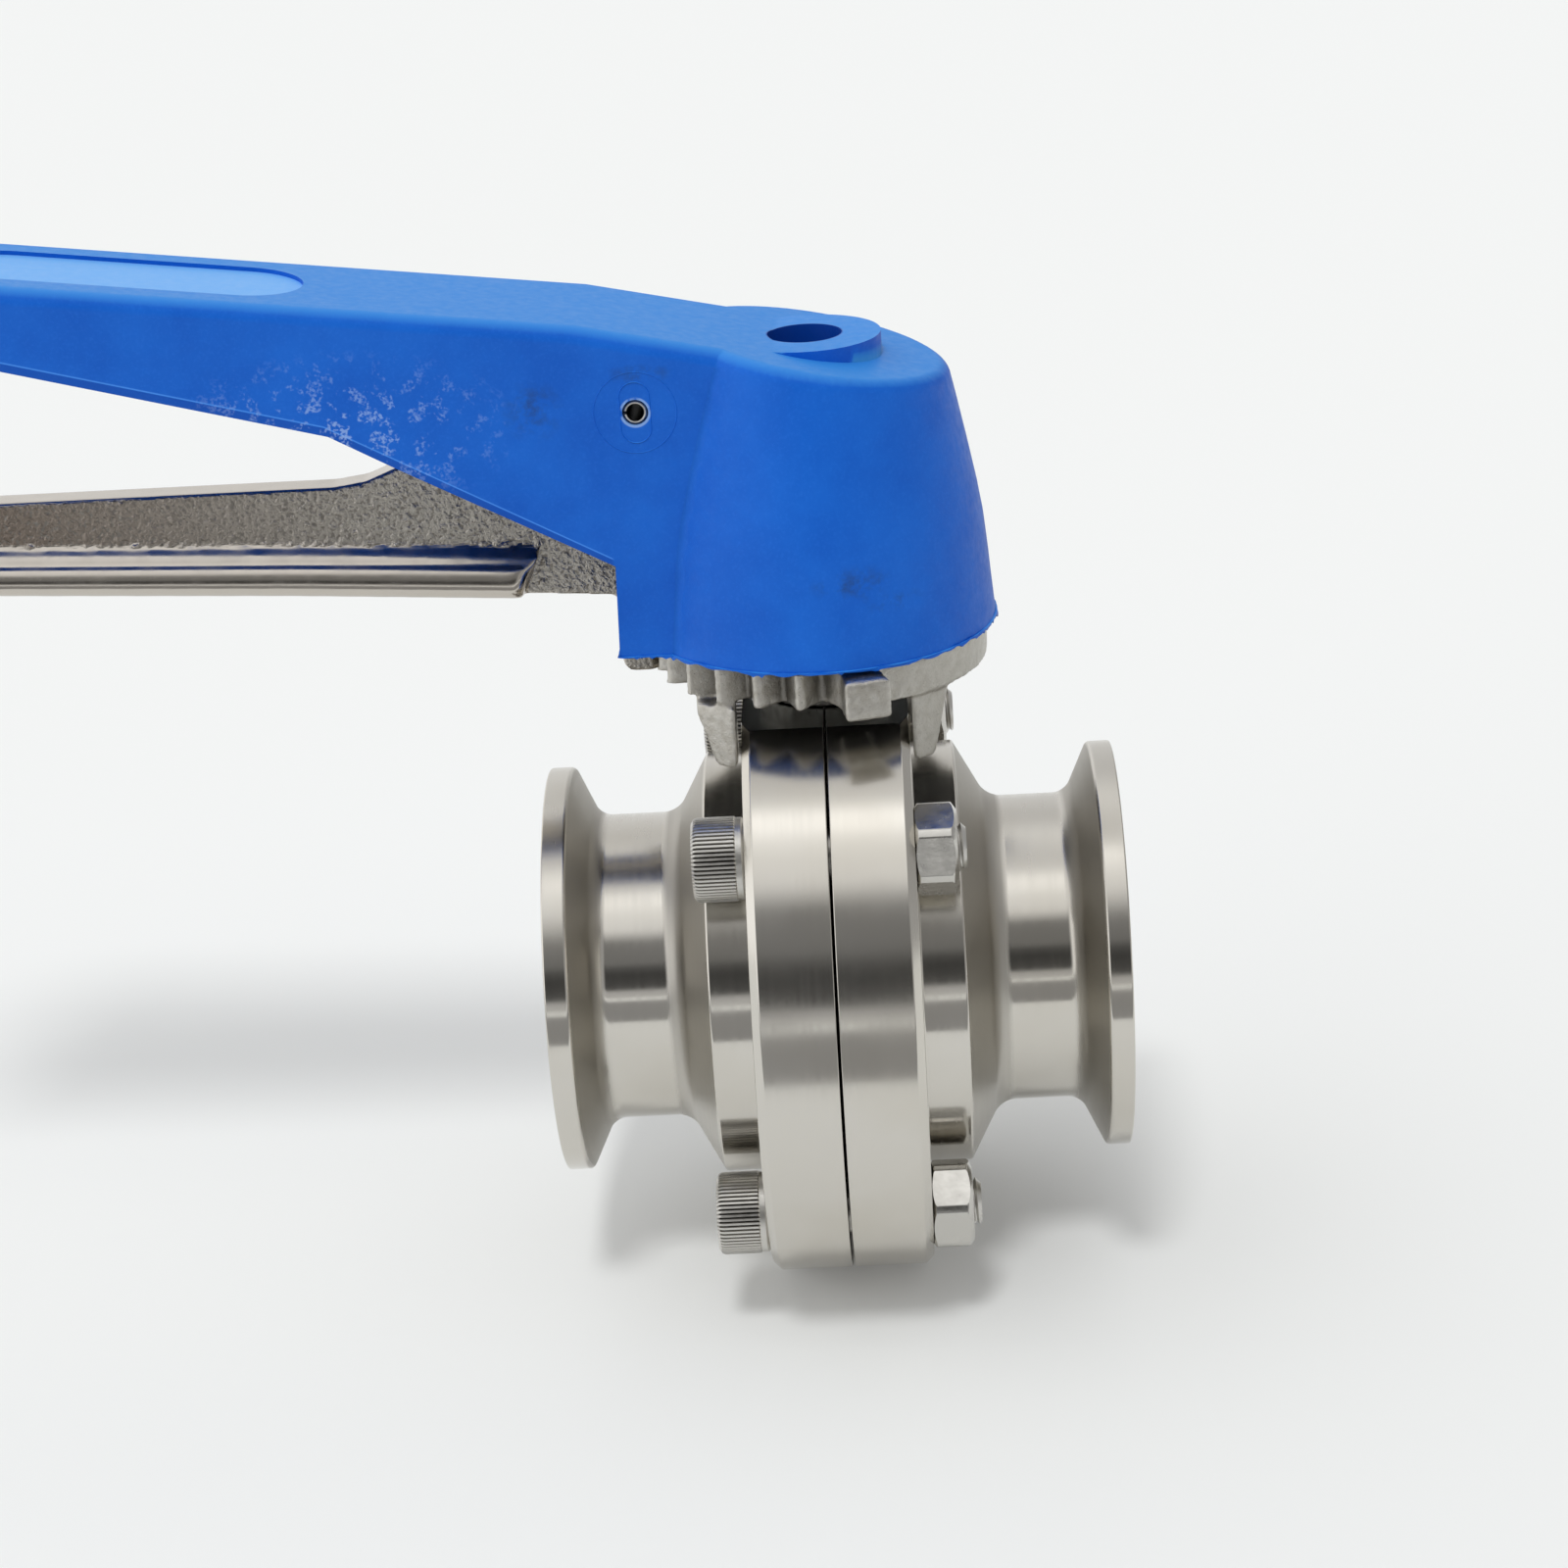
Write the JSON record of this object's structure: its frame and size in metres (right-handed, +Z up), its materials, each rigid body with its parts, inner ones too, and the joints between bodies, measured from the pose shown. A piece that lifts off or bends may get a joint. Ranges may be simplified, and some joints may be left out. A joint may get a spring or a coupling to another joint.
{
  "type": "sanitary butterfly valve",
  "caption": "Hand-turned butterfly shutoff valve with clamp-ferrule ends, a bolted split body and a squeeze-to-release lever handle that locks in a notch plate.",
  "frame": {"origin": "where the pipe axis crosses the stem axis, at the middle of the body", "axes": "+X along the pipe axis towards the outlet end, away from the handle; +Z up along the stem axis towards the handle; +Y across the pipe, away from the viewer of the side with the locking notches"},
  "size_m": [0.175, 0.0778, 0.1378],
  "materials": {
    "polished_steel": "turned and polished stainless steel with soft broad reflections",
    "cast_steel": "investment-cast stainless steel, bead blasted, polished on the worn edges",
    "fastener_steel": "bright stainless fasteners with knurled heads",
    "handle_plastic": "moulded matte blue plastic",
    "seat_rubber": "smooth black elastomer",
    "bushing_plastic": "plain off-white bearing plastic"
  },
  "bodies": {
    "body": {"body_half_inlet": "polished_steel", "body_half_outlet": "polished_steel", "seat_ring": "seat_rubber", "stem_seal_upper": "seat_rubber", "stem_seal_lower": "seat_rubber", "bushing_upper": "bushing_plastic", "bushing_lower": "bushing_plastic", "notch_plate": "cast_steel", "body_screw_1": "fastener_steel", "body_screw_2": "fastener_steel", "body_screw_3": "fastener_steel", "body_screw_4": "fastener_steel", "hex_nut_1": "fastener_steel", "hex_nut_2": "fastener_steel", "hex_nut_3": "fastener_steel", "hex_nut_4": "fastener_steel"},
    "handle": {"handle": "handle_plastic", "drive_insert": "fastener_steel", "handle_washer": "fastener_steel", "handle_screw": "fastener_steel", "disc_stem": "polished_steel", "pivot_pin": "fastener_steel", "lever_spring": "fastener_steel"},
    "trigger": {"trigger_lever": "cast_steel"}
  },
  "joints": [
    {"name": "handle_turn", "type": "hinge", "parent": "body", "child": "handle", "pos_m": [0, 0, 0], "axis": [0, 0, 1], "range_deg": [0, 90]},
    {"name": "lever_squeeze", "type": "hinge", "parent": "handle", "child": "trigger", "pos_m": [-0.01975, 0, 0.0747], "axis": [0, 1, 0], "range_deg": [0, 8], "stiffness_Nm_per_rad": 3, "springref_deg": -8.59, "deforming": ["lever_spring"]}
  ]
}
